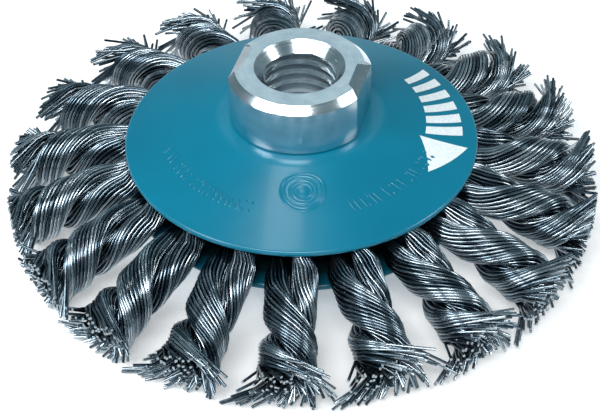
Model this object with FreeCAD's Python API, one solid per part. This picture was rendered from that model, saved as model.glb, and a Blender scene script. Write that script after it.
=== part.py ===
import FreeCAD, Part
import math
import os

# Bevel brush of twisted wire knots, made to screw on an angle grinder's spindle. Millimetres.
# The origin is the centre of the nut's seating face, and +Z points out of the nut's mouth.
# Two dished cover plates clamp a dished core disc between them. Each knot is a bundle of
# wires folded through a hole of the core disc, whose two legs are twisted left-handed.

# Overall sizes
brush_diameter = 100.0
plate_diameter = 60.0
bevel_angle = 18.0
knot_count = 19
first_knot_angle = -93.9

# Nut
nut_diameter = 24.0
nut_height = 9.3
nut_across_flats = 22.0
nut_flats_angle = -16.4
nut_top_chamfer = 1.2
nut_foot_chamfer = 0.3
notch_inset = 1.9
notch_drop = 1.3
notch_inner_width = 6.0
notch_outer_width = 9.6

# Metric thread through the whole nut
thread_diameter = 14.0
thread_pitch = 2.0
thread_flank_angle = 30.0
groove_overlap = 0.2
bore_sector_count = 8
entry_widening = 0.6
exit_widening = 0.4

# Spigot of the nut, which carries the stack and is riveted over under the lower plate
spigot_wall = 2.0
lip_reach = 1.6
lip_height = 1.0
lip_chamfer = 0.4

# Sheet steel: cover plates and core disc, all bent to the same slope at the same distance
# from the spacers
plate_thickness = 1.2
plate_gap = 6.3
disc_thickness = 1.2
disc_diameter = 47.0
spacer_wall = 3.0
bend_land = 1.85
bend_radius = 4.0

# Holes of the core disc, and the steel left between two of them
hole_circle_diameter = 40.0
hole_web = 1.6

# Knots
knot_side_gap = 1.0
knot_thickness = 4.9
tip_side_gap = 1.2
tip_thickness = 9.0
tip_flare_start = 0.55
twist_in_plates = 90.0
twist_lead = 0.7
swell_delay = 2.0
twist_outside = 360.0
twist_growth = 1.6
waist_share = 0.37
knot_sections = 26
section_points = 24

# Fits: radial play of the stack on the spigot, and room round the wires
spigot_fit = 0.05
wire_fit = 0.1

# Modelling: how far a cutting shape reaches past the steel, and when two points are one
cut_past = 1.0
same_point = 1e-5

# Values that follow from the sizes above
slope = math.radians(bevel_angle)
nut_radius = nut_diameter / 2
plate_radius = plate_diameter / 2
brush_radius = brush_diameter / 2
disc_radius = disc_diameter / 2
thread_radius = thread_diameter / 2
flank = math.radians(thread_flank_angle)
spigot_radius = thread_radius + spigot_wall
stack_hole_radius = spigot_radius + spigot_fit
spacer_radius = stack_hole_radius + spacer_wall
bend_corner = spacer_radius + bend_land
upper_middle_z = -nut_height - plate_thickness / 2
plate_step = plate_gap + plate_thickness
core_middle_z = upper_middle_z - plate_step / 2
lower_middle_z = upper_middle_z - plate_step
lower_face_z = lower_middle_z - plate_thickness / 2
nut_end_z = lower_face_z - lip_height

# The metric profile is a triangle with its crests cut off at 5/8 of its height, and with
# roots as wide as an eighth of the pitch.
thread_triangle = thread_pitch / (2 * math.tan(flank))
thread_minor_radius = thread_radius - thread_triangle * 5 / 8
thread_root_half = thread_pitch / 16

X_AXIS = FreeCAD.Vector(1, 0, 0)
Y_AXIS = FreeCAD.Vector(0, 1, 0)
Z_AXIS = FreeCAD.Vector(0, 0, 1)
ORIGIN = FreeCAD.Vector(0, 0, 0)


def profile_point(radius, z):
    """A point of the half section in the XZ plane."""
    return FreeCAD.Vector(radius, 0, z)


def revolve(edges):
    """Turn a closed half section about the Z axis into a solid."""
    return Part.Face(Part.Wire(edges)).revolve(ORIGIN, Z_AXIS, 360)


def revolve_polygon(points):
    corners = [profile_point(radius, z) for radius, z in points]
    return Part.Face(Part.makePolygon(corners + corners[:1])).revolve(ORIGIN, Z_AXIS, 360)


def ring(inner_radius, outer_radius, bottom_z, top_z):
    section = [
        (inner_radius, bottom_z),
        (outer_radius, bottom_z),
        (outer_radius, top_z),
        (inner_radius, top_z),
    ]
    return revolve_polygon(section)


def line(start, end):
    return Part.LineSegment(start, end).toShape()


def arc(start, middle, end):
    return Part.Arc(start, middle, end).toShape()


# Sheet steel pieces


def dished_sheet(middle_z, thickness, outer_radius):
    """A flat hub, a bend and a cone that ends in a fully rounded edge."""
    middle_arc_radius = bend_radius + thickness / 2
    bend_start = bend_corner - middle_arc_radius * math.tan(slope / 2)
    bend_centre = profile_point(bend_start, middle_z - middle_arc_radius)
    down = profile_point(math.cos(slope), -math.sin(slope))
    out = profile_point(math.sin(slope), math.cos(slope))
    half_out = profile_point(math.sin(slope / 2), math.cos(slope / 2))
    bend_end = bend_centre + out * middle_arc_radius
    run = (outer_radius - thickness / 2 - bend_end.x) / math.cos(slope)
    edge_centre = bend_end + down * run
    half = thickness / 2

    top_radius = middle_arc_radius + half
    bottom_radius = middle_arc_radius - half
    hub_top = profile_point(stack_hole_radius, middle_z + half)
    hub_bottom = profile_point(stack_hole_radius, middle_z - half)
    top_start = bend_centre + Z_AXIS * top_radius
    top_end = bend_centre + out * top_radius
    bottom_start = bend_centre + Z_AXIS * bottom_radius
    bottom_end = bend_centre + out * bottom_radius
    edge_top = edge_centre + out * half
    edge_bottom = edge_centre - out * half
    return revolve([
        line(hub_top, top_start),
        arc(top_start, bend_centre + half_out * top_radius, top_end),
        line(top_end, edge_top),
        arc(edge_top, edge_centre + down * half, edge_bottom),
        line(edge_bottom, bottom_end),
        arc(bottom_end, bend_centre + half_out * bottom_radius, bottom_start),
        line(bottom_start, hub_bottom),
        line(hub_bottom, hub_top),
    ])


def upper_plate():
    return dished_sheet(upper_middle_z, plate_thickness, plate_radius)


def lower_plate():
    return dished_sheet(lower_middle_z, plate_thickness, plate_radius)


def spacer(lower_sheet_z, lower_thickness, upper_sheet_z, upper_thickness):
    """A flat ring that fills the hub between two sheets."""
    bottom_z = lower_sheet_z + lower_thickness / 2
    top_z = upper_sheet_z - upper_thickness / 2
    return ring(stack_hole_radius, spacer_radius, bottom_z, top_z)


def upper_spacer():
    return spacer(core_middle_z, disc_thickness, upper_middle_z, plate_thickness)


def lower_spacer():
    return spacer(lower_middle_z, plate_thickness, core_middle_z, disc_thickness)


# Places on the middle surface of the core disc's cone, in the XZ plane

hole_circle_radius = hole_circle_diameter / 2
hole_pitch = 2 * hole_circle_radius * math.sin(math.pi / knot_count)
hole_radius = (hole_pitch - hole_web) / 2
cone_down = profile_point(math.cos(slope), -math.sin(slope))
cone_out = profile_point(math.sin(slope), math.cos(slope))


def core_point(radius):
    """The middle of the core disc's cone, carried on past the disc's rim."""
    return profile_point(radius, core_middle_z - (radius - bend_corner) * math.tan(slope))


def turned(shape, index):
    """The shape carried to the place of knot number index."""
    copy = shape.copy()
    copy.rotate(ORIGIN, Z_AXIS, first_knot_angle + 360 * index / knot_count)
    return copy


def core_disc():
    disc = dished_sheet(core_middle_z, disc_thickness, disc_radius)
    start = core_point(hole_circle_radius) - cone_out * disc_thickness * 2
    drill = Part.makeCylinder(hole_radius, disc_thickness * 4, start, cone_out)
    return disc.cut([turned(drill, index) for index in range(knot_count)])


# Nut


def nut_blank():
    """The turned body with its spigot, and the lip that rivets the stack together."""
    lip_radius = spigot_radius + lip_reach
    section = [
        (0, 0),
        (nut_radius - nut_top_chamfer, 0),
        (nut_radius, -nut_top_chamfer),
        (nut_radius, -nut_height + nut_foot_chamfer),
        (nut_radius - nut_foot_chamfer, -nut_height),
        (spigot_radius, -nut_height),
        (spigot_radius, lower_face_z),
        (lip_radius, lower_face_z),
        (lip_radius, nut_end_z + lip_chamfer),
        (lip_radius - lip_chamfer, nut_end_z),
        (0, nut_end_z),
    ]
    return revolve_polygon(section)


def wrench_flats():
    """Two blocks that cut the flats, each with a sloping notch in the flat's top edge."""
    reach = nut_diameter
    flat_x = nut_across_flats / 2
    notch_start = flat_x - notch_inset
    notch_end = flat_x + notch_inset
    start_half = notch_inner_width / 2
    end_half = notch_outer_width - start_half
    block = Part.makeBox(reach, 2 * reach, nut_height + cut_past)
    block.translate(FreeCAD.Vector(flat_x, -reach, -nut_height))
    wedge = Part.Face(Part.makePolygon([
        profile_point(notch_start, 0),
        profile_point(notch_end, -2 * notch_drop),
        profile_point(notch_end, cut_past),
        profile_point(notch_start, cut_past),
        profile_point(notch_start, 0),
    ])).extrude(Y_AXIS * reach)
    wedge.translate(Y_AXIS * (-reach / 2))
    plan = Part.Face(Part.makePolygon([
        FreeCAD.Vector(notch_start, -start_half, -nut_height),
        FreeCAD.Vector(notch_end, -end_half, -nut_height),
        FreeCAD.Vector(notch_end, end_half, -nut_height),
        FreeCAD.Vector(notch_start, start_half, -nut_height),
        FreeCAD.Vector(notch_start, -start_half, -nut_height),
    ])).extrude(Z_AXIS * (nut_height + cut_past))
    cuts = []
    for angle in (0, 180):
        for shape in (block, wedge.common(plan)):
            cut = shape.copy()
            cut.rotate(ORIGIN, Z_AXIS, nut_flats_angle + angle)
            cuts.append(cut)
    return cuts


def bore_sectors():
    """The bore at the thread's minor radius, opened into a cone at both ends.

    It is cut sector by sector, so that no crest of the thread is one face that winds round.
    """
    entry_radius = thread_radius + entry_widening
    exit_radius = thread_radius + exit_widening
    entry_depth = entry_radius - thread_minor_radius
    exit_depth = exit_radius - thread_minor_radius
    section = Part.Face(Part.makePolygon([
        profile_point(0, cut_past),
        profile_point(entry_radius + cut_past, cut_past),
        profile_point(thread_minor_radius, -entry_depth),
        profile_point(thread_minor_radius, nut_end_z + exit_depth),
        profile_point(exit_radius + cut_past, nut_end_z - cut_past),
        profile_point(0, nut_end_z - cut_past),
        profile_point(0, cut_past),
    ]))
    sector = section.revolve(ORIGIN, Z_AXIS, 360 / bore_sector_count)
    sectors = []
    for step in range(bore_sector_count):
        copy = sector.copy()
        copy.rotate(ORIGIN, Z_AXIS, 360 * step / bore_sector_count)
        sectors.append(copy)
    return sectors


def thread_groove():
    """One right-handed helical groove that runs out past both ends of the nut."""
    inner_radius = thread_minor_radius - groove_overlap
    root_half = thread_root_half
    inner_half = root_half + (thread_radius - inner_radius) * math.tan(flank)
    start_z = nut_end_z - thread_pitch
    helix = Part.makeLongHelix(thread_pitch, 2 * thread_pitch - nut_end_z, thread_radius)
    helix.translate(Z_AXIS * start_z)
    section = Part.makePolygon([
        profile_point(inner_radius, start_z - inner_half),
        profile_point(thread_radius, start_z - root_half),
        profile_point(thread_radius, start_z + root_half),
        profile_point(inner_radius, start_z + inner_half),
        profile_point(inner_radius, start_z - inner_half),
    ])
    sweep = Part.BRepOffsetAPI.MakePipeShell(Part.Wire(helix.Edges))
    sweep.setBiNormalMode(Z_AXIS)
    sweep.add(section)
    sweep.build()
    sweep.makeSolid()
    return sweep.shape()


def threaded_nut():
    nut = nut_blank().cut(wrench_flats())
    nut = nut.cut(bore_sectors())
    return nut.cut(thread_groove())


# Knots. One is built along +X and carried round to each place.

sheet_to_sheet = plate_step / 2 * math.cos(slope) - (plate_thickness + disc_thickness) / 2
leg_thickness = sheet_to_sheet - 2 * wire_fit
leg_half_width = hole_radius - wire_fit
leg_centre_height = disc_thickness / 2 + wire_fit + leg_thickness / 2
rim_pitch = 2 * plate_radius * math.sin(math.pi / knot_count)
tip_pitch = 2 * brush_radius * math.sin(math.pi / knot_count)
knot_half_width = (rim_pitch - knot_side_gap) / 2
tip_half_width = (tip_pitch - tip_side_gap) / 2


def blend(start, end, share):
    return start + (end - start) * share


def knot_section(radius, long_half, short_half, angle, flare):
    """Points of a closed outline round the knot's line.

    It is two lobes with a waist between them, turned by angle, which open into the flat
    oval of the wire ends as flare goes from 0 to 1.
    """
    centre = core_point(radius)
    points = []
    for step in range(section_points + 1):
        turn = math.pi / 2 + 2 * math.pi * step / section_points
        across = long_half * math.cos(turn - angle)
        along = short_half * math.sin(turn - angle)
        side = math.cos(turn)
        height = math.sin(turn)
        oval = math.hypot(tip_half_width * side, tip_thickness / 2 * height)
        reach = blend(math.hypot(across, along), oval, flare)
        points.append(centre + Y_AXIS * (reach * side) + cone_out * (reach * height))
    return points


def capped_tube(sections):
    """A solid whose side passes through every section, closed with a flat face at each end."""
    surface = Part.BSplineSurface()
    surface.interpolate(sections)
    side = surface.toShape()
    ends = []
    for section in (sections[0], sections[-1]):
        mark = Part.Vertex(section[section_points // 4])
        rim = [edge for edge in side.Edges if edge.distToShape(mark)[0] < same_point]
        ends.append(Part.Face(Part.Wire(rim[:1])))
    shell = Part.Shell([side] + ends)
    shell.sewShape()
    solid = Part.Solid(shell)
    if solid.Volume < 0:
        solid.reverse()
    return solid


def twisted_body():
    """The two legs twisted together, from the core disc's rim to past the wire ends."""
    root_radius = disc_radius + wire_fit
    end_radius = brush_radius + tip_thickness / 2
    root_long = leg_centre_height + leg_thickness / 2
    waist_half = knot_thickness * waist_share
    sections = []
    for step in range(knot_sections):
        radius = blend(root_radius, end_radius, step / (knot_sections - 1))
        if radius < plate_radius:
            share = (radius - root_radius) / (plate_radius - root_radius)
            long_half = blend(root_long, knot_half_width, share ** swell_delay)
            short_half = blend(leg_half_width, waist_half, share)
            angle = 90 - twist_in_plates * share ** twist_lead
            flare = 0
        else:
            share = (radius - plate_radius) / (brush_radius - plate_radius)
            long_half = knot_half_width
            short_half = waist_half
            angle = 90 - twist_in_plates - twist_outside * share ** twist_growth
            flare = max(0, min(share, 1) - tip_flare_start) / (1 - tip_flare_start)
        sections.append(knot_section(radius, long_half, short_half, math.radians(angle), flare))
    return capped_tube(sections)


def leg(height):
    """One flattened leg beside the core disc, from inside its hole to past its rim."""
    width = 2 * leg_half_width
    start = core_point(hole_circle_radius) + cone_out * (height - leg_thickness / 2)
    run = (disc_radius + wire_fit - hole_circle_radius) / math.cos(slope) + wire_fit * 4
    round_end = Part.makeCylinder(leg_half_width, leg_thickness, start, cone_out)
    bar = Part.makeBox(run, width, leg_thickness)
    bar.translate(Y_AXIS * (-leg_half_width))
    bar.rotate(ORIGIN, Y_AXIS, bevel_angle)
    bar.translate(start)
    return round_end.fuse(bar)


def knot():
    pin_start = core_point(hole_circle_radius) - cone_out * leg_centre_height
    pin = Part.makeCylinder(leg_half_width, 2 * leg_centre_height, pin_start, cone_out)
    trim = ring(bend_corner, brush_radius, nut_end_z - brush_radius, 0)
    body = twisted_body().common(trim)
    return body.fuse([leg(leg_centre_height), leg(-leg_centre_height), pin]).removeSplitter()


def export(name, shape):
    if shape.ShapeType != "Solid":
        shape = shape.Solids[0]
    shape.exportStep("parts/" + name + ".step")


os.makedirs("parts", exist_ok=True)
export("threaded_nut", threaded_nut())
export("upper_plate", upper_plate())
export("upper_spacer", upper_spacer())
export("core_disc", core_disc())
export("lower_spacer", lower_spacer())
export("lower_plate", lower_plate())
one_knot = knot()
for index in range(knot_count):
    export("knot_%02d" % (index + 1), turned(one_knot, index))
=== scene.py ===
import math
import random

import bpy
from mathutils import Matrix, Vector


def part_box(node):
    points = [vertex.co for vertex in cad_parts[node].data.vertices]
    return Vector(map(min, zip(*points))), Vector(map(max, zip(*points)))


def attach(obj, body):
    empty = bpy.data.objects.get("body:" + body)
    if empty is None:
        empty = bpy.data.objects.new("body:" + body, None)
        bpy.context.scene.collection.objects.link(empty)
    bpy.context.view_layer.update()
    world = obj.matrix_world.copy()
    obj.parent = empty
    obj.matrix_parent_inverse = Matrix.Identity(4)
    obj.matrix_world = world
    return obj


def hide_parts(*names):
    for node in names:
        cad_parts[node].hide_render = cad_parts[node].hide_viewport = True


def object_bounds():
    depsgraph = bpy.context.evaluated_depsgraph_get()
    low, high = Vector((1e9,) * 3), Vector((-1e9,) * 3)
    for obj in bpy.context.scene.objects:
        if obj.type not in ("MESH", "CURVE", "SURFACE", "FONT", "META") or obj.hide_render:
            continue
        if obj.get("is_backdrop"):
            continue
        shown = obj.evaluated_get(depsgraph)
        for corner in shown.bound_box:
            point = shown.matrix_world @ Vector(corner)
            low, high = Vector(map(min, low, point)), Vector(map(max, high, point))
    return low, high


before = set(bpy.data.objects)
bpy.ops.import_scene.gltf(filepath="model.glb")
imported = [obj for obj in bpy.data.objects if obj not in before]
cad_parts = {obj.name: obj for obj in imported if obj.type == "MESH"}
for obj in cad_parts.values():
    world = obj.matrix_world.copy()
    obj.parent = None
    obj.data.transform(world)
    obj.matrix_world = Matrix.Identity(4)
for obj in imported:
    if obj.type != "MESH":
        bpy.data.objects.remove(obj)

bl_info = {
    "name": "Bevel Wire Brush",
    "version": (1, 0, 0),
    "blender": (4, 5, 0),
    "location": "View3D > Sidebar > Wire Brush",
    "description": "Twisted wire knots, enamelled plates and a nut, built round the CAD frame",
    "category": "Object",
}

CAD_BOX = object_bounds()
MM = 0.001
BODY = "root"
KNOTS = sorted(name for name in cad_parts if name.startswith("knot_"))


# Places taken from the frame

def corner_radius(node):
    """The largest distance from the axis to a node's box side."""
    low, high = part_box(node)
    return max(high.x, high.y)


PLATE_RADIUS = corner_radius("upper_plate")
DISC_RADIUS = corner_radius("core_disc")
BRUSH_RADIUS = max(CAD_BOX[1].x, CAD_BOX[1].y)
SHEET_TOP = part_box("upper_plate")[1].z
LOWER_SHEET_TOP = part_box("lower_plate")[1].z
FLOOR = CAD_BOX[0].z
CORE_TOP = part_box("core_disc")[1].z

# The bevel of the brush, which the knots follow too
BEVEL = math.radians(18.0)
STRAY = 0.6 * MM
SHEET_THICKNESS = 1.2 * MM
BEND_RADIUS = 13.9 * MM
# how dark the painted shade is on the lower plate's inner face, between the plates
HOLE_CIRCLE = 20.0 * MM
PAINTED_SHADE_DEPTH = 0.97
FIRST_KNOT = -93.9

# Camera and light. The camera looks along +Y, down on the brush.
CAMERA_TILT = 40.99
CAMERA_ROLL = -1.41
CAMERA_DISTANCE = 300 * MM
CAMERA_RIGHT = -0.2 * MM
CAMERA_UP = -12.45 * MM
LENS = 105.6
RIM_HEIGHT = -14.6 * MM
SENSOR_WIDTH = 36.0
FLOOR_REACH = 3.0
LIGHT_AIM = (0, 0, -15 * MM)
SKY_COLOUR = "#b6d6e1"
SKY_STRENGTH = 0.33
LIGHTS = (
    ("front_softbox", (-0.12, -0.50, 0.68), (0.50, 0.20), 4.3, "#ffffff"),
    ("overhead_softbox", (-0.08, 0.20, 0.80), (0.12, 0.16), 0.5, "#ffffff"),
    ("back_panel", (0.0, 0.62, 0.54), (0.50, 0.30), 0.3, "#d9edf5"),
    ("left_softbox", (-0.52, -0.26, 0.46), (0.30, 0.20), 3.0, "#f4faff"),
    ("right_softbox", (0.58, -0.08, 0.36), (0.20, 0.20), 1.3, "#ffffff"),
)


def cone_height(hub_height, radius):
    """Height on a dished sheet's cone, for a surface at hub_height on its flat hub."""
    return hub_height - (radius - BEND_RADIUS) * math.tan(BEVEL)


def knot_line_height(radius):
    """Height of the knots' line at a distance from the axis: the core disc's middle, carried on."""
    return cone_height(CORE_TOP - SHEET_THICKNESS / 2, radius)


def on_plate(radius, azimuth, lift):
    """A point above the upper plate's cone; the azimuth is in radians."""
    middle = cone_height(SHEET_TOP - SHEET_THICKNESS / 2, radius)
    out = SHEET_THICKNESS / 2 + lift
    reach = radius + out * math.sin(BEVEL)
    return Vector((
        reach * math.cos(azimuth), reach * math.sin(azimuth), middle + out * math.cos(BEVEL),
    ))


# Colours and nodes

def linear(hex_colour):
    """An sRGB hex colour as the linear RGBA that shaders take."""
    out = []
    for start in (1, 3, 5):
        part = int(hex_colour[start:start + 2], 16) / 255
        out.append(part / 12.92 if part <= 0.04045 else ((part + 0.055) / 1.055) ** 2.4)
    return (*out, 1.0)


def add_node(tree, kind, settings=None, inputs=None, stops=()):
    """Adds a node, with its properties, its inputs by name or number, and its ramp's stops."""
    node = tree.nodes.new(kind)
    for name, value in (settings or {}).items():
        setattr(node, name, value)
    for key, value in (inputs or {}).items():
        socket = node.inputs[key]
        if isinstance(value, bpy.types.NodeSocket):
            tree.links.new(value, socket)
        else:
            socket.default_value = value
    if stops:
        elements = node.color_ramp.elements
        while len(elements) < len(stops):
            elements.new(0.5)
        for element, (position, colour) in zip(elements, stops):
            element.position = position
            element.color = colour
    return node


def new_material(name):
    material = bpy.data.materials.new(name)
    material.use_nodes = True
    material.node_tree.nodes.clear()
    return material, material.node_tree


def grey(value):
    return (value, value, value, 1.0)


# Materials

def wire_material():
    """Drawn high-carbon steel wire, dark from its drawing soap, with a bright burnish along it."""
    material, tree = new_material("drawn_carbon_steel_wire")
    place = add_node(tree, "ShaderNodeTexCoord")
    wire = add_node(tree, "ShaderNodeAttribute", {"attribute_name": "wire_tone"})
    # the drawing soap lies in patches some 3 mm long
    patches = add_node(tree, "ShaderNodeTexNoise", None, {
        "Vector": place.outputs["Object"], "Scale": 1 / (3 * MM), "Detail": 2.0,
    })
    tone = add_node(tree, "ShaderNodeMath", {"operation": "MULTIPLY_ADD"}, {
        0: patches.outputs["Fac"], 1: 0.35, 2: wire.outputs["Fac"],
    })
    colour = add_node(tree, "ShaderNodeValToRGB", None, {"Fac": tone.outputs[0]}, [
        (0.15, linear("#3a4953")), (0.6, linear("#75848e")), (1.0, linear("#aeb9c0")),
    ])
    rough = add_node(tree, "ShaderNodeValToRGB", None, {"Fac": patches.outputs["Fac"]}, [
        (0.3, grey(0.17)), (0.75, grey(0.26)),
    ])
    # the die's lines are drawn 0.12 mm apart, so that they show
    lines = add_node(tree, "ShaderNodeTexNoise", None, {
        "Vector": place.outputs["Object"], "Scale": 1 / (0.12 * MM), "Detail": 1.0,
    })
    bump = add_node(tree, "ShaderNodeBump", None, {
        "Strength": 0.05, "Distance": 0.01 * MM, "Height": lines.outputs["Fac"],
    })
    shader = add_node(tree, "ShaderNodeBsdfPrincipled", None, {
        "Base Color": colour.outputs[0], "Metallic": 1.0,
        "Roughness": rough.outputs[0], "Normal": bump.outputs[0],
    })
    add_node(tree, "ShaderNodeOutputMaterial", None, {"Surface": shader.outputs[0]})
    return material


def sheared_material():
    """Freshly sheared steel at the wires' ends: pale and slightly torn."""
    material, tree = new_material("sheared_steel_wire_end")
    place = add_node(tree, "ShaderNodeTexCoord")
    tear = add_node(tree, "ShaderNodeTexNoise", None, {
        "Vector": place.outputs["Object"], "Scale": 1 / (0.15 * MM), "Detail": 2.0,
    })
    colour = add_node(tree, "ShaderNodeValToRGB", None, {"Fac": tear.outputs["Fac"]}, [
        (0.3, linear("#7f8c95")), (0.7, linear("#bcc6cc")),
    ])
    shader = add_node(tree, "ShaderNodeBsdfPrincipled", None, {
        "Base Color": colour.outputs[0], "Metallic": 1.0, "Roughness": 0.5,
    })
    add_node(tree, "ShaderNodeOutputMaterial", None, {"Surface": shader.outputs[0]})
    return material


def distance_from_axis(tree, place):
    """Distance of a place from the brush's axis, in metres."""
    flat = add_node(tree, "ShaderNodeVectorMath", {"operation": "MULTIPLY"}, {
        0: place, 1: (1, 1, 0),
    })
    return add_node(tree, "ShaderNodeVectorMath", {"operation": "LENGTH"}, {
        0: flat.outputs[0],
    }).outputs["Value"]


def enamel_material(name, shade_depth, finish):
    """Baked enamel sprayed on pressed steel: glossy, with faint orange peel.

    The share given is painted shade: 0 leaves the enamel plain, 1 makes it nearly black on the face
    inside the brush, fading out just short of the rim.
    """
    material, tree = new_material(name)
    place = add_node(tree, "ShaderNodeTexCoord")
    # the coat's thickness drifts over some 20 mm
    drift = add_node(tree, "ShaderNodeTexNoise", None, {
        "Vector": place.outputs["Object"], "Scale": 1 / (20 * MM), "Detail": 2.0,
    })
    teal = add_node(tree, "ShaderNodeValToRGB", None, {"Fac": drift.outputs["Fac"]}, [
        (0.2, tuple(finish.enamel_dark)), (0.8, tuple(finish.enamel_light)),
    ])
    teal.color_ramp.interpolation = "EASE"
    # orange peel of about 1.2 mm
    peel = add_node(tree, "ShaderNodeTexNoise", None, {
        "Vector": place.outputs["Object"], "Scale": 1 / (1.2 * MM), "Detail": 1.5,
    })
    bump = add_node(tree, "ShaderNodeBump", None, {
        "Strength": 0.05, "Distance": 0.04 * MM, "Height": peel.outputs["Fac"],
    })
    rough = add_node(tree, "ShaderNodeValToRGB", None, {"Fac": drift.outputs["Fac"]}, [
        (0.2, grey(0.27)), (0.8, grey(0.30)),
    ])
    rough.color_ramp.interpolation = "EASE"
    base = teal.outputs[0]
    # painted shade: darkens the lower plate's inner face, out to just short of the rim, where the
    # upper plate shades it
    if shade_depth:
        radius = distance_from_axis(tree, place.outputs["Object"])
        share = add_node(tree, "ShaderNodeValToRGB", None, {"Fac": radius}, [
            (PLATE_RADIUS - 2.2 * MM, grey(shade_depth)), (PLATE_RADIUS - 0.9 * MM, grey(0)),
        ])
        # painted shade, where the upper plate shades the lower: only on the face inside the brush,
        # the one above the middle of the cone
        split = add_node(tree, "ShaderNodeSeparateXYZ", None, {0: place.outputs["Object"]})
        level = add_node(tree, "ShaderNodeMath", {"operation": "MULTIPLY_ADD"}, {
            0: radius, 1: math.tan(BEVEL), 2: split.outputs["Z"],
        })
        inside = add_node(tree, "ShaderNodeMath", {"operation": "GREATER_THAN"}, {
            0: level.outputs[0],
            1: LOWER_SHEET_TOP - SHEET_THICKNESS / 2 + BEND_RADIUS * math.tan(BEVEL),
        })
        painted_shade = add_node(tree, "ShaderNodeMath", {"operation": "MULTIPLY"}, {
            0: share.outputs[0], 1: inside.outputs[0],
        })
        # mixes the teal towards near black, as painted shade
        shaded_teal = add_node(tree, "ShaderNodeMix", {"data_type": "RGBA"}, {
            0: painted_shade.outputs[0], 6: teal.outputs[0], 7: linear("#04090b"),
        })
        base = shaded_teal.outputs[2]
    shader = add_node(tree, "ShaderNodeBsdfPrincipled", None, {
        "Base Color": base, "Metallic": 0.0, "Roughness": rough.outputs[0], "IOR": 1.45,
        "Coat Weight": 0.12, "Coat Roughness": 0.08, "Normal": bump.outputs[0],
    })
    add_node(tree, "ShaderNodeOutputMaterial", None, {"Surface": shader.outputs[0]})
    return material


def zinc_material():
    """Bright zinc plating on a turned nut: mirror-like with the turning marks under it."""
    material, tree = new_material("bright_zinc_plated_steel")
    place = add_node(tree, "ShaderNodeTexCoord")
    split = add_node(tree, "ShaderNodeSeparateXYZ", None, {0: place.outputs["Object"]})
    lathe = add_node(tree, "ShaderNodeCombineXYZ", None, {
        "X": distance_from_axis(tree, place.outputs["Object"]), "Z": split.outputs["Z"],
    })
    # feed marks every 0.15 mm, the same all round the axis
    marks = add_node(tree, "ShaderNodeTexNoise", None, {
        "Vector": lathe.outputs[0], "Scale": 1 / (0.3 * MM), "Detail": 2.0,
    })
    cloud = add_node(tree, "ShaderNodeTexNoise", None, {
        "Vector": place.outputs["Object"], "Scale": 1 / (4 * MM), "Detail": 3.0,
    })
    colour = add_node(tree, "ShaderNodeValToRGB", None, {"Fac": cloud.outputs["Fac"]}, [
        (0.3, linear("#c6d2d9")), (0.7, linear("#e6edf0")),
    ])
    rough = add_node(tree, "ShaderNodeValToRGB", None, {"Fac": marks.outputs["Fac"]}, [
        (0.3, grey(0.12)), (0.75, grey(0.28)),
    ])
    bump = add_node(tree, "ShaderNodeBump", None, {
        "Strength": 0.2, "Distance": 0.02 * MM, "Height": marks.outputs["Fac"],
    })
    shader = add_node(tree, "ShaderNodeBsdfPrincipled", None, {
        "Base Color": colour.outputs[0], "Metallic": 1.0,
        "Roughness": rough.outputs[0], "Normal": bump.outputs[0],
    })
    add_node(tree, "ShaderNodeOutputMaterial", None, {"Surface": shader.outputs[0]})
    return material


def bare_sheet_material():
    """Bare cold-rolled sheet with a film of oil: grey, rolled one way, with dull spots."""
    material, tree = new_material("oiled_cold_rolled_steel")
    place = add_node(tree, "ShaderNodeTexCoord")
    # the rolling grain is some 0.2 mm across and 6 mm long
    grain_space = add_node(tree, "ShaderNodeMapping", None, {
        "Vector": place.outputs["Object"], "Scale": (1 / (6 * MM), 1 / (0.2 * MM), 1 / (0.2 * MM)),
    })
    grain = add_node(tree, "ShaderNodeTexNoise", None, {
        "Vector": grain_space.outputs[0], "Scale": 1.0,
    })
    colour = add_node(tree, "ShaderNodeValToRGB", None, {"Fac": grain.outputs["Fac"]}, [
        (0.3, linear("#6d7376")), (0.7, linear("#9aa1a5")),
    ])
    rough = add_node(tree, "ShaderNodeValToRGB", None, {"Fac": grain.outputs["Fac"]}, [
        (0.3, grey(0.3)), (0.7, grey(0.5)),
    ])
    shader = add_node(tree, "ShaderNodeBsdfPrincipled", None, {
        "Base Color": colour.outputs[0], "Metallic": 1.0, "Roughness": rough.outputs[0],
    })
    add_node(tree, "ShaderNodeOutputMaterial", None, {"Surface": shader.outputs[0]})
    return material


def print_material():
    """White pad-printing ink on enamel: nearly matt, thin at its rim."""
    material, tree = new_material("white_pad_print_ink")
    place = add_node(tree, "ShaderNodeTexCoord")
    ink = add_node(tree, "ShaderNodeTexNoise", None, {
        "Vector": place.outputs["Object"], "Scale": 1 / (0.5 * MM), "Detail": 2.0,
    })
    colour = add_node(tree, "ShaderNodeValToRGB", None, {"Fac": ink.outputs["Fac"]}, [
        (0.3, linear("#dfe9ec")), (0.7, linear("#f6fafb")),
    ])
    shader = add_node(tree, "ShaderNodeBsdfPrincipled", None, {
        "Base Color": colour.outputs[0], "Roughness": 0.45, "Coat Weight": 0.2,
    })
    add_node(tree, "ShaderNodeOutputMaterial", None, {"Surface": shader.outputs[0]})
    return material


def floor_material():
    """White acrylic studio table, lit faintly from below."""
    material, tree = new_material("lit_white_acrylic_table")
    place = add_node(tree, "ShaderNodeTexCoord")
    fibre = add_node(tree, "ShaderNodeTexNoise", None, {
        "Vector": place.outputs["Object"], "Scale": 1 / (30 * MM), "Detail": 2.0,
    })
    colour = add_node(tree, "ShaderNodeValToRGB", None, {"Fac": fibre.outputs["Fac"]}, [
        (0.3, grey(0.86)), (0.7, grey(0.88)),
    ])
    shader = add_node(tree, "ShaderNodeBsdfPrincipled", None, {
        "Base Color": colour.outputs[0], "Roughness": 0.9, "Emission Color": linear("#ffffff"),
        "Emission Strength": 0.35,
    })
    add_node(tree, "ShaderNodeOutputMaterial", None, {"Surface": shader.outputs[0]})
    return material


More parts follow.
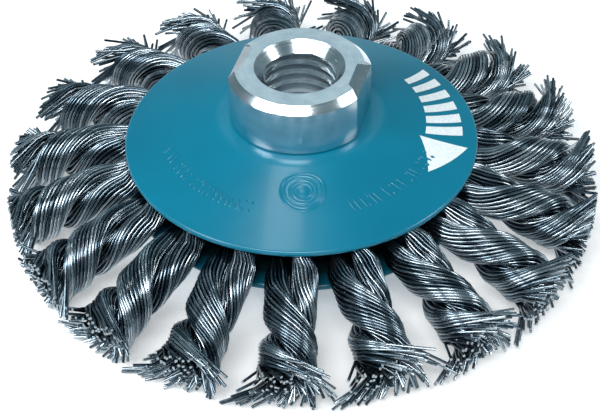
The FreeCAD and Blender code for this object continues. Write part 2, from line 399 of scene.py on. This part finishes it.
# One wire's centreline in its knot's own frame: X runs out along the knot, Z is up from the cone

BUNDLE_RINGS = 4
RING_STEP = 5
FOLD_RADIUS = 1.78 * MM
FOLD_HALF_THICKNESS = 0.83 * MM
FOLD_HALF_WIDTH = 2.1 * MM
RIM_ANGLE = math.radians(14)
# a leg's middle, half thickness and half width in mm, at shares of the way to its end
LEG_MIDDLE = ((0.0, 2.15), (0.3, 2.0), (0.75, 2.2), (1.0, 2.5))
LEG_THICK = ((0.0, 2.0), (0.3, 1.95), (0.75, 2.15), (1.0, 2.5))
LEG_WIDE = ((0.0, 2.1), (0.3, 3.1), (0.75, 3.7), (1.0, 4.2))
FOLD_STEPS = 3
RUN_STEPS = 26
END_STEPS = 3
RELEASE = 0.80
LOOSE_SHARE = 0.2
LOOSE_STRAY = 0.22
TIGHT_STRAY = 0.07
LEAST_OUTWARD = 0.25
END_LOOK_BACK = 0.3 * MM
END_SHORTFALL = 1.4 * MM
END_LENGTHS = (7.0, 9.5)
END_ROOM = 0.3 * MM
END_TRIM = 0.96
PHASE_SPREAD = 7.0
WAVE_GAIN = 4.0
# a wire's side faces have four corners, and its end faces have more
MOST_SIDE_CORNERS = 4.5


def bundle_places():
    """Places of the wires in one leg: one in the middle and 5, 10, 15, 20 in rings round it."""
    places = [(0.0, 0.0)]
    for ring in range(1, BUNDLE_RINGS + 1):
        count = RING_STEP * ring
        for step in range(count):
            turn = 2 * math.pi * (step + 0.5 * (ring % 2)) / count
            reach = ring / BUNDLE_RINGS
            places.append((reach * math.cos(turn), reach * math.sin(turn)))
    return places


def blend(start, end, share):
    return start + (end - start) * share


def between(share, stops):
    """Smooth value at a share of the way along (share, value) stops."""
    for (low, low_value), (high, high_value) in zip(stops, stops[1:]):
        if share <= high:
            part = max(0.0, (share - low) / (high - low))
            return blend(low_value, high_value, part * part * (3 - 2 * part))
    return stops[-1][1]


def leg_shape(share):
    """Distance of a leg's middle from the knot's line, and its half thickness and half width."""
    middle = between(share, LEG_MIDDLE) * MM
    thick = between(share, LEG_THICK) * MM
    wide = between(share, LEG_WIDE) * MM
    return middle, thick, wide


def turned_place(angle, along_leg, across_leg):
    """Side and height of a point, from the legs' angle and its place along and across it."""
    side = along_leg * math.cos(angle) + across_leg * math.sin(angle)
    height = along_leg * math.sin(angle) - across_leg * math.cos(angle)
    return side, height


def wire_point(distance, place, leg, knot):
    """A point of a wire inside the knot, at a distance out from the core disc's hole."""
    along_leg, across_leg = place
    if distance < knot["disc_end"]:
        middle, thick, wide, angle = FOLD_RADIUS, FOLD_HALF_THICKNESS, FOLD_HALF_WIDTH, math.pi / 2
    elif distance < knot["plate_end"]:
        share = (distance - knot["disc_end"]) / (knot["plate_end"] - knot["disc_end"])
        middle_end, thick_end, wide_end = leg_shape(0.0)
        middle = blend(FOLD_RADIUS, middle_end, share ** 2)
        thick = blend(FOLD_HALF_THICKNESS, thick_end, share ** 2)
        wide = blend(FOLD_HALF_WIDTH, wide_end, share)
        angle = blend(math.pi / 2, RIM_ANGLE, share ** 0.7)
    else:
        share = (distance - knot["plate_end"]) / (knot["wire_end"] - knot["plate_end"])
        middle, thick, wide = leg_shape(share)
        angle = RIM_ANGLE - knot["twist"] * share ** knot["tightening"]
    side, height = turned_place(
        angle + math.pi * leg, middle + thick * along_leg, wide * across_leg,
    )
    return Vector((distance, side, height))


def wire_path(place, leg, knot, rng):
    """Points of one wire: half of the fold, the run inside the knot, the straight free end."""
    along_leg, across_leg = place
    points = []
    bow = FOLD_RADIUS + FOLD_HALF_THICKNESS * along_leg
    for step in range(FOLD_STEPS):
        turn = math.pi / 2 * step / FOLD_STEPS
        side, height = turned_place(
            math.pi / 2 + math.pi * leg, bow * math.sin(turn), FOLD_HALF_WIDTH * across_leg,
        )
        points.append(Vector((FOLD_RADIUS - bow * math.cos(turn), side, height)))

    release = knot["release"] + rng.uniform(-0.05, 0.05)
    leave = blend(knot["plate_end"], knot["wire_end"], release)
    for step in range(RUN_STEPS + 1):
        distance = blend(FOLD_RADIUS, leave, step / RUN_STEPS)
        points.append(wire_point(distance, place, leg, knot))

    # the free end keeps the direction that the wire had in the knot
    near = wire_point(leave - END_LOOK_BACK, place, leg, knot)
    direction = (points[-1] - near).normalized()
    loose = LOOSE_STRAY if rng.random() < LOOSE_SHARE else TIGHT_STRAY
    direction.y = direction.y * knot["spread"] + rng.gauss(0, loose)
    direction.z = direction.z * knot["flatness"] + rng.gauss(0, loose)
    direction.x = max(direction.x, LEAST_OUTWARD)
    start = points[-1]
    reach = knot["wire_end"] - rng.random() ** 2 * END_SHORTFALL
    run = min((reach - start.x) / direction.x, rng.uniform(*END_LENGTHS) * MM)
    run = kept_inside(start, direction, run, knot["to_brush"])
    for step in range(1, END_STEPS + 1):
        points.append(start + direction * (run * step / END_STEPS))
    return points


def kept_inside(start, direction, run, to_brush):
    """The run cut down, until the wire ends near the brush's rim and above its foot."""
    while run > END_ROOM:
        end = to_brush @ (start + direction * run)
        in_reach = math.hypot(end.x, end.y) < BRUSH_RADIUS + STRAY
        if in_reach and end.z > FLOOR + END_ROOM:
            break
        run *= END_TRIM
    return run


def knot_frame(index):
    """Carries a knot's own frame to its place on the bevel."""
    hub = Vector((HOLE_CIRCLE, 0, knot_line_height(HOLE_CIRCLE)))
    azimuth = math.radians(FIRST_KNOT + 360 * index / len(KNOTS))
    turn, tip = Matrix.Rotation(azimuth, 4, "Z"), Matrix.Rotation(BEVEL, 4, "Y")
    return turn @ Matrix.Translation(hub) @ tip


def knot_centrelines(name, index, settings):
    """A mesh of open polylines, one for each wire of a knot, with a tone for each wire."""
    rng = random.Random(settings.seed * 100 + index)
    knot = {
        "disc_end": (DISC_RADIUS - HOLE_CIRCLE) / math.cos(BEVEL),
        "plate_end": (PLATE_RADIUS - HOLE_CIRCLE) / math.cos(BEVEL),
        "wire_end": (BRUSH_RADIUS + STRAY - HOLE_CIRCLE) / math.cos(BEVEL),
        "twist": math.radians(settings.twist + rng.uniform(-14, 14)),
        "tightening": settings.tightening + rng.uniform(-0.08, 0.08),
        "release": RELEASE + rng.uniform(-0.02, 0.02),
        "flatness": settings.flatness,
        "spread": settings.spread,
        "to_brush": knot_frame(index),
    }
    to_brush = knot["to_brush"]
    points, edges, tones, along = [], [], [], []
    for leg in (0, 1):
        for place in bundle_places():
            path = wire_path(place, leg, knot, rng)
            first = len(points)
            points += [to_brush @ point for point in path]
            edges += [(first + step, first + step + 1) for step in range(len(path) - 1)]
            tones += [rng.random()] * len(path)
            along += [step / (len(path) - 1) for step in range(len(path))]
    mesh = bpy.data.meshes.new(name)
    mesh.from_pydata(points, edges, [])
    mesh.attributes.new("wire_tone", "FLOAT", "POINT").data.foreach_set("value", tones)
    mesh.attributes.new("along", "FLOAT", "POINT").data.foreach_set("value", along)
    return mesh


def wire_tree():
    """Geometry nodes that turn centrelines into round wires with sheared ends."""
    tree = bpy.data.node_groups.new("Wire bundle", "GeometryNodeTree")
    tree.is_modifier = True
    sockets = {}
    for label, kind, start in (
        ("Centrelines", "NodeSocketGeometry", None),
        ("Wire Diameter", "NodeSocketFloat", 0.5 * MM),
        ("Sides", "NodeSocketInt", 6),
        ("Waviness", "NodeSocketFloat", 0.1 * MM),
        ("Seed", "NodeSocketInt", 1),
        ("Wire Material", "NodeSocketMaterial", None),
        ("End Material", "NodeSocketMaterial", None),
    ):
        socket = tree.interface.new_socket(label, in_out="INPUT", socket_type=kind)
        if start is not None:
            socket.default_value = start
        sockets[label] = socket.identifier
    tree.interface.new_socket("Geometry", in_out="OUTPUT", socket_type="NodeSocketGeometry")
    given = add_node(tree, "NodeGroupInput").outputs

    # a slow wave along the wires, which fades out where they are clamped
    along = add_node(tree, "GeometryNodeInputNamedAttribute", {"data_type": "FLOAT"}, {
        "Name": "along",
    })
    tone = add_node(tree, "GeometryNodeInputNamedAttribute", {"data_type": "FLOAT"}, {
        "Name": "wire_tone",
    })
    place = add_node(tree, "GeometryNodeInputPosition")
    phase = add_node(tree, "ShaderNodeMath", {"operation": "MULTIPLY_ADD"}, {
        0: tone.outputs["Attribute"], 1: PHASE_SPREAD, 2: given["Seed"],
    })
    wave = add_node(tree, "ShaderNodeTexNoise", {"noise_dimensions": "4D"}, {
        "Vector": place.outputs[0], "W": phase.outputs[0], "Scale": 1 / (6 * MM), "Detail": 1.0,
    })
    centred = add_node(tree, "ShaderNodeVectorMath", {"operation": "SUBTRACT"}, {
        0: wave.outputs["Color"], 1: (0.5, 0.5, 0.5),
    })
    amount = add_node(tree, "ShaderNodeMath", {"operation": "MULTIPLY"}, {
        0: given["Waviness"], 1: along.outputs["Attribute"],
    })
    double = add_node(tree, "ShaderNodeMath", {"operation": "MULTIPLY"}, {
        0: amount.outputs[0], 1: WAVE_GAIN,
    })
    offset = add_node(tree, "ShaderNodeVectorMath", {"operation": "SCALE"}, {
        0: centred.outputs[0], "Scale": double.outputs[0],
    })
    moved = add_node(tree, "GeometryNodeSetPosition", None, {
        "Geometry": given["Centrelines"], "Offset": offset.outputs[0],
    })

    curves = add_node(tree, "GeometryNodeMeshToCurve", None, {"Mesh": moved.outputs[0]})
    radius = add_node(tree, "ShaderNodeMath", {"operation": "MULTIPLY"}, {
        0: given["Wire Diameter"], 1: 0.5,
    })
    section = add_node(tree, "GeometryNodeCurvePrimitiveCircle", None, {
        "Resolution": given["Sides"], "Radius": radius.outputs[0],
    })
    wires = add_node(tree, "GeometryNodeCurveToMesh", None, {
        "Curve": curves.outputs[0], "Profile Curve": section.outputs["Curve"], "Fill Caps": True,
    })
    sides = add_node(tree, "GeometryNodeInputMeshFaceNeighbors")
    is_end = add_node(tree, "ShaderNodeMath", {"operation": "GREATER_THAN"}, {
        0: sides.outputs["Vertex Count"], 1: MOST_SIDE_CORNERS,
    })
    smooth = add_node(tree, "GeometryNodeSetShadeSmooth", {"domain": "FACE"}, {
        "Geometry": wires.outputs[0],
    })
    flat = add_node(tree, "GeometryNodeSetShadeSmooth", {"domain": "FACE"}, {
        "Geometry": smooth.outputs[0], "Selection": is_end.outputs[0], "Shade Smooth": False,
    })
    whole = add_node(tree, "GeometryNodeRealizeInstances", None, {"Geometry": flat.outputs[0]})
    coated = add_node(tree, "GeometryNodeSetMaterial", None, {
        "Geometry": whole.outputs[0], "Material": given["Wire Material"],
    })
    ended = add_node(tree, "GeometryNodeSetMaterial", None, {
        "Geometry": coated.outputs[0], "Selection": is_end.outputs[0],
        "Material": given["End Material"],
    })
    add_node(tree, "NodeGroupOutput", None, {0: ended.outputs[0]})
    return tree, sockets


def plain_mesh(lines, tree, values, name):
    """The mesh that the tree makes from the lines, as an object of its own with no modifier."""
    holder = bpy.data.objects.new(name + "_lines", lines)
    bpy.context.scene.collection.objects.link(holder)
    modifier = holder.modifiers.new("Wires", "NODES")
    modifier.node_group = tree
    for identifier, value in values.items():
        modifier[identifier] = value
    bpy.context.view_layer.update()
    evaluated = holder.evaluated_get(bpy.context.evaluated_depsgraph_get())
    mesh = bpy.data.meshes.new_from_object(evaluated)
    mesh.name = name
    holder.modifiers.clear()
    bpy.data.objects.remove(holder)
    bpy.data.meshes.remove(lines)
    piece = bpy.data.objects.new(name, mesh)
    bpy.context.scene.collection.objects.link(piece)
    return piece


# Marks pressed into and printed on the upper plate

ROUNDEL_RADIUS = 19.0 * MM
ROUNDEL_RIDGES = ((3.55, 0.16), (3.0, 0.10), (2.15, 0.10), (1.55, 0.12))
ROUNDEL_RIDGE_WIDTH = 0.13
ROUNDEL_BOSS = 0.95
ROUNDEL_BOSS_RISE = 0.22
ROUNDEL_LIMIT = 3.9
ROUNDEL_LIFT = 0.004
STROKE_RISE = 0.2
STROKE_SINK = 0.01
STROKE_LEAN = 14
TALLY_ROWS = ((-165.0, -111.0), (-70.0, -22.0))
TALLY_STEPS = (2.2, 2.6, 3.0, 4.6)
LONG_STROKE_SHARE = 0.55
INK_LIFT = 0.03 * MM
# the turning mark's bars, as (azimuth, width) in degrees, between two radii in mm
MARK_BARS = ((31.0, 4.0), (24.0, 4.4), (16.5, 4.6), (9.0, 4.8), (1.5, 5.0), (-6.0, 5.2))
MARK_INNER = 21.0
MARK_OUTER = 27.2


def mesh_piece(name, points, faces, material, slot):
    """A smooth piece on the brush's body, from points and faces."""
    mesh = bpy.data.meshes.new(name)
    mesh.from_pydata(points, [], faces)
    mesh.polygons.foreach_set("use_smooth", [True] * len(faces))
    mesh.materials.append(material)
    piece = bpy.data.objects.new(name, mesh)
    bpy.context.scene.collection.objects.link(piece)
    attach(piece, BODY)
    return piece


def disc_patch(points, faces, rings, spokes, place):
    """Adds a round patch: place gives the point at a share of its radius and a turn."""
    first = len(points)
    points.append(place(0.0, 0.0))
    for ring in range(1, rings + 1):
        for spoke in range(spokes):
            points.append(place(ring / rings, 2 * math.pi * spoke / spokes))
    for spoke in range(spokes):
        after = (spoke + 1) % spokes
        faces.append((first, first + 1 + spoke, first + 1 + after))
        for ring in range(rings - 1):
            inner, outer = first + 1 + ring * spokes, first + 1 + (ring + 1) * spokes
            faces.append((inner + spoke, outer + spoke, outer + after, inner + after))


def near_plate_point(radius, azimuth, side, out, lift):
    """A point on the plate at a distance sideways and outwards from another."""
    reach = radius + out * math.cos(BEVEL)
    return on_plate(reach, azimuth + side / reach, lift)


def roundel_height(distance):
    """Height of the pressed roundel at a distance from its centre, in millimetres."""
    height = 0.0
    for ridge, rise in ROUNDEL_RIDGES:
        height += rise * math.exp(-((distance - ridge) / ROUNDEL_RIDGE_WIDTH) ** 2)
    return height + ROUNDEL_BOSS_RISE * math.exp(-(distance / ROUNDEL_BOSS) ** 4)


def roundel_mesh():
    """A round badge of plain rings round a boss, pressed up from the plate."""
    points, faces = [], []

    def place(share, turn):
        distance = share * ROUNDEL_LIMIT
        lift = (roundel_height(distance) + ROUNDEL_LIFT) * MM
        side, out = distance * math.sin(turn) * MM, distance * math.cos(turn) * MM
        return near_plate_point(ROUNDEL_RADIUS, -math.pi / 2, side, out, lift)

    disc_patch(points, faces, 60, 72, place)
    return points, faces


def stroke_mesh(strokes):
    """Low rounded ridges on the plate: (radius, azimuth, length, width, lean), mm and degrees."""
    points, faces = [], []
    for radius, azimuth, length, width, lean in strokes:
        tilt = math.radians(lean)

        def place(share, turn):
            along = share * length / 2 * math.cos(turn)
            across = share * width / 2 * math.sin(turn)
            side = along * math.sin(tilt) + across * math.cos(tilt)
            out = along * math.cos(tilt) - across * math.sin(tilt)
            lift = STROKE_RISE * math.sqrt(max(0.0, 1 - share ** 2)) - STROKE_SINK
            return near_plate_point(
                radius * MM, math.radians(azimuth), side * MM, out * MM, lift * MM,
            )

        disc_patch(points, faces, 5, 16, place)
    return points, faces


def tally_strokes():
    """Short pressed strokes in two rows, on both sides of the roundel."""
    strokes = []
    rng = random.Random(11)
    for first, last in TALLY_ROWS:
        azimuth = first
        while azimuth < last:
            if rng.random() < LONG_STROKE_SHARE:
                strokes.append((22.6, azimuth, 2.4, 0.5, STROKE_LEAN))
            else:
                strokes.append((23.4, azimuth, 0.8, 0.55, STROKE_LEAN))
                strokes.append((21.9, azimuth + 0.6, 0.8, 0.55, STROKE_LEAN))
            azimuth += rng.choice(TALLY_STEPS)
    return strokes


def band_patch(points, faces, outline, steps=6):
    """Adds a printed patch between two edges: (radius, azimuth) pairs, in mm and degrees."""
    (inner_start, outer_start), (inner_end, outer_end) = outline
    first = len(points)
    for row in range(steps + 1):
        for column in range(steps + 1):
            low = [blend(a, b, row / steps) for a, b in zip(inner_start, inner_end)]
            high = [blend(a, b, row / steps) for a, b in zip(outer_start, outer_end)]
            radius, azimuth = [blend(a, b, column / steps) for a, b in zip(low, high)]
            points.append(on_plate(radius * MM, math.radians(azimuth), INK_LIFT))
    for row in range(steps):
        for column in range(steps):
            corner = first + row * (steps + 1) + column
            faces.append((corner, corner + 1, corner + steps + 2, corner + steps + 1))


def direction_mark():
    """A printed sign for the way the brush turns: leaning bars that end in an arrowhead."""
    points, faces = [], []
    lean = 6.0
    for azimuth, wide in MARK_BARS:
        band_patch(points, faces, (
            ((MARK_INNER, azimuth - wide), (MARK_OUTER, azimuth - wide + lean)),
            ((MARK_INNER, azimuth), (MARK_OUTER, azimuth + lean)),
        ))
    band_patch(points, faces, (
        ((24.2, -32.0), (24.2, -32.0)),
        ((20.2, -14.0), (28.2, -11.0)),
    ))
    return points, faces


# What a user may change

class BrushWires(bpy.types.PropertyGroup):
    """Sizes of the wire knots."""
    wire_diameter: bpy.props.FloatProperty(
        name="Wire Diameter", description="Diameter of each steel wire",
        default=0.5 * MM, min=0.1 * MM, unit="LENGTH",
    )
    twist: bpy.props.FloatProperty(
        name="Twist", description="Degrees that a knot turns from the plates to its end",
        default=350.0, min=0.0, max=720.0,
    )
    tightening: bpy.props.FloatProperty(
        name="Tightening", description="How much faster a knot turns towards its end",
        default=1.6, min=1.0, max=3.0,
    )
    flatness: bpy.props.FloatProperty(
        name="Flatness", description="How much of its rise or fall a free wire end keeps",
        default=0.55, min=0.1, max=1.0,
    )
    spread: bpy.props.FloatProperty(
        name="Spread", description="How much of its sideways run a free wire end keeps",
        default=1.25, min=0.1, max=2.0,
    )
    waviness: bpy.props.FloatProperty(
        name="Waviness", description="How far the wires wander from their lay",
        default=0.035 * MM, min=0.0, unit="LENGTH",
    )
    seed: bpy.props.IntProperty(
        name="Seed", description="Changes the stray wires", default=5, min=1,
    )


class BrushFinish(bpy.types.PropertyGroup):
    """Colours of the painted plates."""
    enamel_dark: bpy.props.FloatVectorProperty(
        name="Enamel, Thick", description="Colour of the enamel where its coat is thick",
        default=linear("#006d88"), size=4, min=0.0, max=1.0, subtype="COLOR",
    )
    enamel_light: bpy.props.FloatVectorProperty(
        name="Enamel, Thin", description="Colour of the enamel where its coat is thin",
        default=linear("#007a95"), size=4, min=0.0, max=1.0, subtype="COLOR",
    )


class MakeKnots(bpy.types.Operator):
    """Make each twisted knot from its own steel wires"""
    bl_idname = "wire_brush.make_knots"
    bl_label = "Wire Knots"

    def execute(self, context):
        settings = context.scene.brush_wires
        tree, sockets = wire_tree()
        wire, end = wire_material(), sheared_material()
        for index, node in enumerate(KNOTS):
            name = "wires_of_" + node
            lines = knot_centrelines(name + "_centrelines", index, settings)
            piece = plain_mesh(lines, tree, {
                sockets["Wire Diameter"]: settings.wire_diameter,
                sockets["Waviness"]: settings.waviness,
                sockets["Seed"]: settings.seed + index,
                sockets["Wire Material"]: wire,
                sockets["End Material"]: end,
            }, name)
            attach(piece, BODY)
            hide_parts(node)
        return {"FINISHED"}


class FinishMetalwork(bpy.types.Operator):
    """Give the nut, the plates and the hidden sheet parts their finishes"""
    bl_idname = "wire_brush.finish_metalwork"
    bl_label = "Metalwork"

    def execute(self, context):
        finish = context.scene.brush_finish
        finishes = {
            "threaded_nut": zinc_material(),
            "upper_plate": enamel_material("baked_teal_enamel", 0, finish),
            # the lower plate's enamel carries painted shade on its face inside the brush
            "lower_plate": enamel_material("teal_enamel_painted_shade", PAINTED_SHADE_DEPTH, finish),
        }
        bare = bare_sheet_material()
        for name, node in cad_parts.items():
            if name in KNOTS:
                continue
            node.data.materials.clear()
            node.data.materials.append(finishes.get(name, bare))
        return {"FINISHED"}


class MarkPlate(bpy.types.Operator):
    """Press the roundel and the tally strokes into the upper plate, and print the turning mark"""
    bl_idname = "wire_brush.mark_plate"
    bl_label = "Plate Marks"

    def execute(self, context):
        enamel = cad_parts["upper_plate"].data.materials[0]
        mesh_piece("pressed_roundel", *roundel_mesh(), enamel, "teal_enamel")
        mesh_piece("pressed_strokes", *stroke_mesh(tally_strokes()), enamel, "teal_enamel")
        mesh_piece("printed_turning_mark", *direction_mark(), print_material(), "teal_enamel")
        return {"FINISHED"}


class SetStage(bpy.types.Operator):
    """Make the floor, the lights and the camera"""
    bl_idname = "wire_brush.set_stage"
    bl_label = "Stage"

    def execute(self, context):
        mesh = bpy.data.meshes.new("floor")
        sides = ((-1, -1), (1, -1), (1, 1), (-1, 1))
        corners = [(x * FLOOR_REACH, y * FLOOR_REACH, FLOOR) for x, y in sides]
        mesh.from_pydata(corners, [], [(0, 1, 2, 3)])
        mesh.materials.append(floor_material())
        floor = bpy.data.objects.new("floor", mesh)
        context.scene.collection.objects.link(floor)
        floor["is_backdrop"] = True

        aim = Vector(LIGHT_AIM)
        for name, place, size, power, tint in LIGHTS:
            lamp = bpy.data.lights.new(name, "AREA")
            lamp.shape = "RECTANGLE"
            lamp.size, lamp.size_y = size
            lamp.energy = power
            lamp.color = linear(tint)[:3]
            holder = bpy.data.objects.new(name, lamp)
            holder.location = place
            holder.rotation_euler = (aim - Vector(place)).to_track_quat("-Z", "Y").to_euler()
            context.scene.collection.objects.link(holder)

        world = bpy.data.worlds.new("studio")
        world.use_nodes = True
        context.scene.world = world
        background = world.node_tree.nodes["Background"]
        background.inputs["Color"].default_value = linear(SKY_COLOUR)
        background.inputs["Strength"].default_value = SKY_STRENGTH
        context.scene.view_settings.view_transform = "Standard"

        camera = bpy.data.cameras.new("camera")
        camera.lens = LENS
        camera.sensor_width = SENSOR_WIDTH
        camera.clip_start, camera.clip_end = 0.01, 20.0
        viewer = bpy.data.objects.new("camera", camera)
        tilt, roll = math.radians(CAMERA_TILT), math.radians(CAMERA_ROLL)
        back = Vector((0, -math.cos(tilt), math.sin(tilt)))
        level, raised = Vector((1, 0, 0)), Vector((0, math.sin(tilt), math.cos(tilt)))
        right = math.cos(roll) * level + math.sin(roll) * raised
        up = -math.sin(roll) * level + math.cos(roll) * raised
        eye = Vector((0, 0, RIM_HEIGHT)) + back * CAMERA_DISTANCE
        eye = eye + right * CAMERA_RIGHT + up * CAMERA_UP
        viewer.matrix_world = Matrix((
            (right.x, up.x, back.x, eye.x),
            (right.y, up.y, back.y, eye.y),
            (right.z, up.z, back.z, eye.z),
            (0, 0, 0, 1),
        ))
        context.scene.collection.objects.link(viewer)
        context.scene.camera = viewer
        return {"FINISHED"}


class BrushPanel(bpy.types.Panel):
    """Sizes and steps of the wire brush"""
    bl_idname = "VIEW3D_PT_wire_brush"
    bl_label = "Wire Brush"
    bl_space_type = "VIEW_3D"
    bl_region_type = "UI"
    bl_category = "Wire Brush"

    def draw(self, context):
        layout = self.layout
        for group in (context.scene.brush_wires, context.scene.brush_finish):
            for name in group.bl_rna.properties.keys():
                if name not in ("rna_type", "name"):
                    layout.prop(group, name)
        for step in STEPS:
            layout.operator(step.bl_idname)


STEPS = (MakeKnots, FinishMetalwork, MarkPlate, SetStage)
CLASSES = (BrushWires, BrushFinish, *STEPS, BrushPanel)


def register():
    for item in CLASSES:
        bpy.utils.register_class(item)
    bpy.types.Scene.brush_wires = bpy.props.PointerProperty(type=BrushWires)
    bpy.types.Scene.brush_finish = bpy.props.PointerProperty(type=BrushFinish)


def unregister():
    del bpy.types.Scene.brush_finish
    del bpy.types.Scene.brush_wires
    for item in reversed(CLASSES):
        bpy.utils.unregister_class(item)


def main():
    register()
    bpy.ops.wire_brush.make_knots()
    bpy.ops.wire_brush.finish_metalwork()
    bpy.ops.wire_brush.mark_plate()
    bpy.ops.wire_brush.set_stage()
    boxes = {"cad": CAD_BOX, "visual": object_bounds()}
    {key: [list(corner) for corner in box] for key, box in boxes.items()}


if __name__ == "__main__":
    main()
